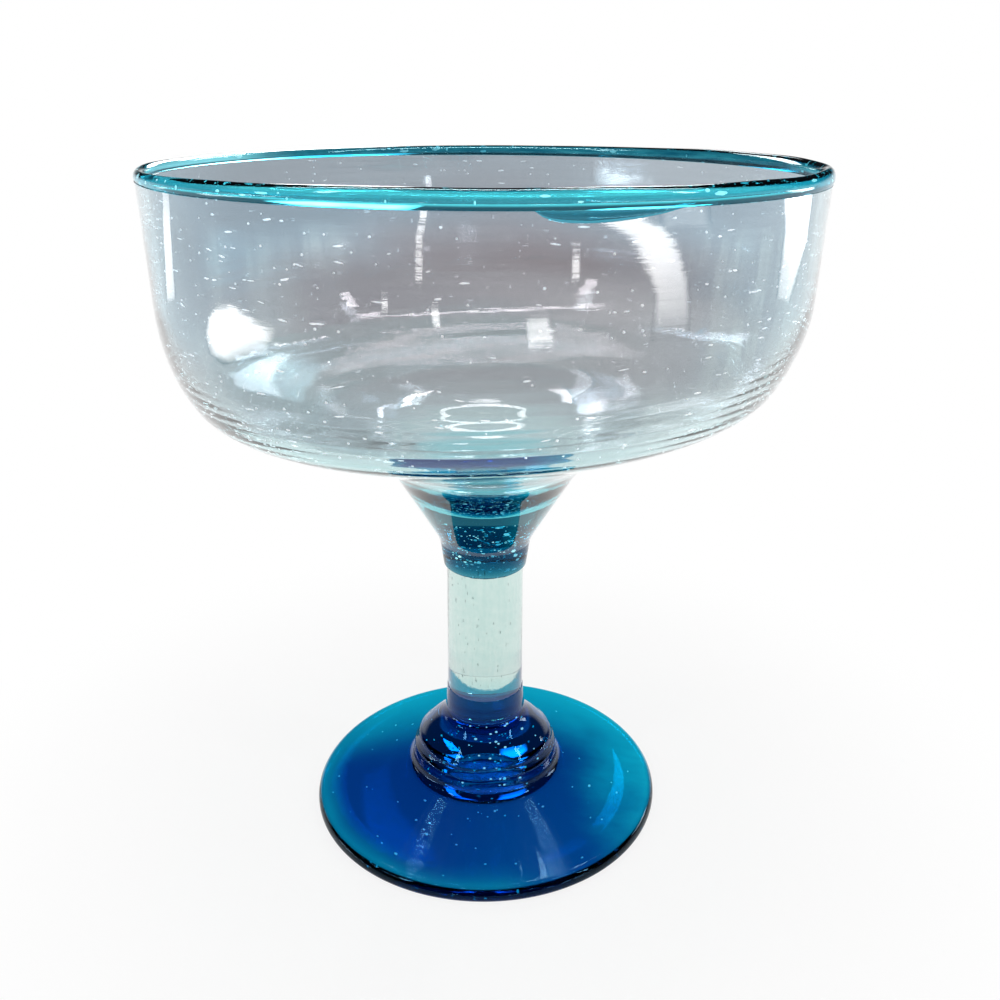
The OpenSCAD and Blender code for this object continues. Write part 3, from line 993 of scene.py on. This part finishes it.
# windows and lamps of the room: bright sheets that the glass mirrors, each in strips.
# Every row of a strip has a place at one edge, one at the other edge and how bright it is there.
# Front, dashes and mouth: pixels of the 1000 x 1000 picture where the glass mirrors the sheet.
# The glass is looked for from begin, in mm from the camera, and the sheet stands far metres off it.
# Ceiling: degrees from +Y and above the level, far metres from the height begin, in mm.
# Overhead: mm across and mm towards the back, far metres over the height begin

windows = {
    "front": {"glow": 11, "far": 0.40, "begin": 100, "strips": {
        "arc": [(586, 222, 604, 205, 0), (592, 224, 612, 208, 1), (612, 240, 640, 218, 1),
                (632, 258, 664, 236, 1), (646, 278, 681, 258, 0.9), (654, 298, 689, 284, 0.6),
                (652, 322, 691, 316, 0.3), (650, 340, 690, 340, 0)],
        "right patch": [(781, 180, 816, 176, 0), (781, 187, 815, 180, 1), (783, 208, 812, 205, 1),
                        (784, 234, 808, 240, 0.8), (780, 262, 800, 270, 0.3), (776, 300, 790, 304, 0.2)],
        "left patch": [(214, 308, 232, 302, 0), (208, 318, 240, 308, 1), (205, 334, 256, 318, 1),
                       (210, 350, 278, 330, 0.8), (224, 360, 268, 354, 0)],
        "left streak": [(162, 190, 170, 188, 0.2), (163, 240, 172, 238, 0.35), (166, 300, 176, 298, 0.2)],
        "pale pane": [(655, 196, 708, 192, 0.2), (660, 236, 712, 232, 0.2)],
        "first lamp": [(571, 265, 580, 265, 1), (571, 278, 580, 278, 1)],
        "second lamp": [(523, 324, 548, 316, 0.6), (527, 346, 556, 340, 0.8)],
        "third lamp": [(381, 301, 388, 301, 0.9), (381, 310, 388, 310, 0.9)],
        "fourth lamp": [(430, 312, 438, 310, 1), (433, 326, 441, 324, 1)],
    }},
    "dashes": {"glow": 11, "far": 0.40, "begin": 100, "strips": {
        "dash %d" % n: [(x, y, x + 8, y, 1), (x - 1, y + tall, x + 7, y + tall, 1)]
        for n, (x, y, tall) in enumerate(((420, 211, 20), (418, 238, 12), (416, 257, 8), (415, 270, 9)))
    }},
    "mouth": {"glow": 14, "far": 0.30, "begin": 215, "strips": {
        "blob": [(592, 158, 600, 150, 0), (600, 172, 620, 152, 1), (616, 182, 652, 160, 1),
                 (634, 186, 664, 170, 0)],
        "dash": [(422, 146, 429, 146, 1), (422, 156, 429, 156, 1)],
    }},
    "ceiling": {"glow": 18, "far": 0.25, "begin": 95, "strips": {
        "left": [(30, 36, 16, 32, 0.3), (28, 46, 12, 42, 1), (22, 56, 8, 52, 0.8)],
        "right": [(-6, 20, -20, 18, 0.3), (-8, 32, -26, 28, 1), (-11, 44, -28, 38, 1),
                  (-14, 52, -28, 48, 0.4)],
    }},
    "overhead": {"glow": 26, "far": 0.25, "begin": 95, "strips": {
        "long lamp": [(-190, -40, -190, -5, 0.2), (-90, -38, -90, 2, 0.9), (0, -36, 0, 6, 1),
                      (90, -38, 90, 2, 1), (200, -40, 200, -5, 0.3)],
    }},
}
search = {"step": 0.25, "slope": 0.4, "overTable": 8, "wallBeyond": 40}  # in mm


def sightLine(px, py):
    # the way that the camera looks through a pixel of the picture
    wide = cameraData.sensor_width / view["lens"]
    across = (px / picture - 0.5) * wide
    up = (0.5 - py / picture) * wide
    return (camera.matrix_world.to_3x3() @ Vector((across, up, -1))).normalized()


def wallAt(height):
    # outer radius of the bowl's wall
    for (r0, z0), (r1, z1) in zip(bowlOutside, bowlOutside[1:]):
        if z0 <= height <= z1 and r0 > search["wallBeyond"]:
            return r0 + (r1 - r0) * (height - z0) / max(z1 - z0, 1e-6)
    return lip["radius"]


def outsideGap(p):
    return p.xy.length - wallAt(p.z)


def insideGap(p):
    return wallAt(p.z) - bowl["wall"] - p.xy.length


def mirrored(group, px, py):
    # where the sight line meets the glass from the free side, and what stands in its mirror line
    way = sightLine(px, py)
    place = camera.location / mm + way * group["begin"]
    gap = group["gap"]
    while gap(place) < 0:
        place = place + way * search["step"]
    while gap(place) > 0:
        place = place + way * search["step"]
    axes = Matrix.Identity(3) * search["slope"]
    slope = Vector([gap(place + axis) - gap(place - axis) for axis in axes]).normalized()
    back = way - 2 * way.dot(slope) * slope
    reach = group["far"] / mm
    if back.z < 0:
        reach = min(reach, (place.z - search["overTable"]) / -back.z)
    return (place + back * reach) * mm


def fromFloor(group, turn, rise):
    way = Vector((sinD(turn) * cosD(rise), cosD(turn) * cosD(rise), sinD(rise)))
    return Vector((0, 0, group["begin"] * mm)) + way * group["far"]


def rightOver(group, x, y):
    return Vector((x, y, group["begin"])) * mm + Vector((0, 0, group["far"]))


def windowFinish(name, glow, seenThrough):
    # those that aren't seen through the glass show only where it mirrors them
    made = bpy.data.materials.new(name)
    made.use_nodes = True
    made.node_tree.nodes.clear()
    start = Wire(made.node_tree)
    share = start.node("ShaderNodeAttribute", {"attribute_name": "share"}, out=2)
    passing = 0.0 if seenThrough else start.node("ShaderNodeLightPath", out="Is Transmission Ray")
    shown = share.blend((0, 0, 0), (1, 1, 1))
    glowing = start.node("ShaderNodeEmission", sockets={"Color": shown, "Strength": glow})
    start.node("ShaderNodeOutputMaterial", sockets={"Surface": start.node("ShaderNodeMixShader", sockets={
        0: passing, 1: glowing, 2: start.node("ShaderNodeBsdfTransparent")})})
    return made


def windowSheet(name, group, strip, material):
    # a grid of points, bright in the middle and soft at both its edges
    columns, rows = 6, 4
    cuts = []
    for one, two in zip(strip, strip[1:]):
        cuts += [[a + (b - a) * n / rows for a, b in zip(one, two)] for n in range(rows)]
    cuts.append(list(strip[-1]))
    points = [group["stand"](group, x0 + (x1 - x0) * n / columns, y0 + (y1 - y0) * n / columns)
              for x0, y0, x1, y1, share in cuts for n in range(columns + 1)]
    wide = columns + 1
    faces = [(n, n + 1, n + 1 + wide, n + wide) for n in range(len(points) - wide) if (n + 1) % wide]
    mesh = bpy.data.meshes.new(name)
    mesh.from_pydata(points, [], faces)
    layer = mesh.attributes.new("share", "FLOAT", "POINT")
    edge = [min(1, 1.6 * math.sin(math.pi * n / columns) ** 0.7) for n in range(wide)]
    layer.data.foreach_set("value", [cut[-1] * part for cut in cuts for part in edge])
    mesh.materials.append(material)
    sheet = bpy.data.objects.new(name, mesh)
    bpy.context.collection.objects.link(sheet)
    sheet.visible_camera = sheet.visible_diffuse = sheet.visible_shadow = False


for kind, group in windows.items():
    group["gap"] = insideGap if kind == "mouth" else outsideGap
    group["stand"] = {"ceiling": fromFloor, "overhead": rightOver}.get(kind, mirrored)
    lit = windowFinish(kind + " windows", group["glow"], kind in ("mouth", "ceiling"))
    for name, strip in group["strips"].items():
        windowSheet("window " + kind + " " + name, group, strip, lit)

print("windows placed")

bpy.context.scene.view_settings.view_transform = "Standard"
